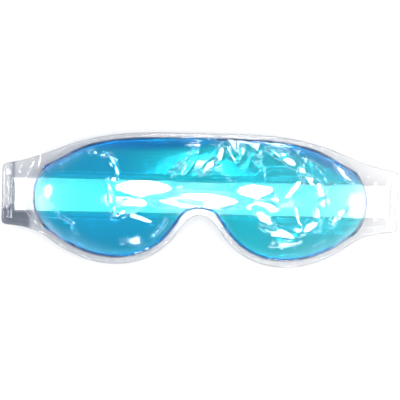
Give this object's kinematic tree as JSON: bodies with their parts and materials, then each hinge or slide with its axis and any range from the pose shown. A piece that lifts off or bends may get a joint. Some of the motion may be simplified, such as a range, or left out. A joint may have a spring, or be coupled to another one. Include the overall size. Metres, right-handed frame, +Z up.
{
  "type": "gel eye mask",
  "caption": "Clear-film gel eye mask filled with blue gel, with a flat white strap that folds under it and closes with hook-and-loop tape.",
  "frame": {"origin": "under the middle of the mask, on the surface it lies on", "axes": "+X from one end tab to the other, +Y from the cheeks towards the forehead, +Z up out of the front of the mask"},
  "size_m": [0.24, 0.0802, 0.012],
  "materials": {
    "clear_film": "clear soft PVC film, glossy",
    "blue_gel": "translucent blue gel, wet",
    "webbing": "white woven elastic webbing",
    "hook_tape": "moulded hooks on woven tape",
    "loop_tape": "brushed loop pile",
    "thread": "white polyester sewing thread"
  },
  "bodies": {
    "mask": {"front_film": "clear_film", "back_film": "clear_film", "gel_fill": "blue_gel", "strap_anchor_left": "webbing", "strap_anchor_right": "webbing"},
    "long_strap": {"long_strap": "webbing", "hook_patch": "hook_tape", "hook_patch_stitching": "thread"},
    "short_strap": {"short_strap": "webbing", "loop_patch": "loop_tape", "loop_patch_stitching": "thread"}
  },
  "joints": [
    {"name": "long_strap_swing", "type": "hinge", "parent": "mask", "child": "long_strap", "pos_m": [-0.107, 0.0008, 0.001], "axis": [0, 1, 0], "range_deg": [0, 180]},
    {"name": "short_strap_swing", "type": "hinge", "parent": "mask", "child": "short_strap", "pos_m": [0.107, 0.0008, 0.00262], "axis": [0, -1, 0], "range_deg": [0, 180]}
  ],
  "couplings": [
    {"joint": "short_strap_swing", "follows": "long_strap_swing", "ratio": 1}
  ]
}
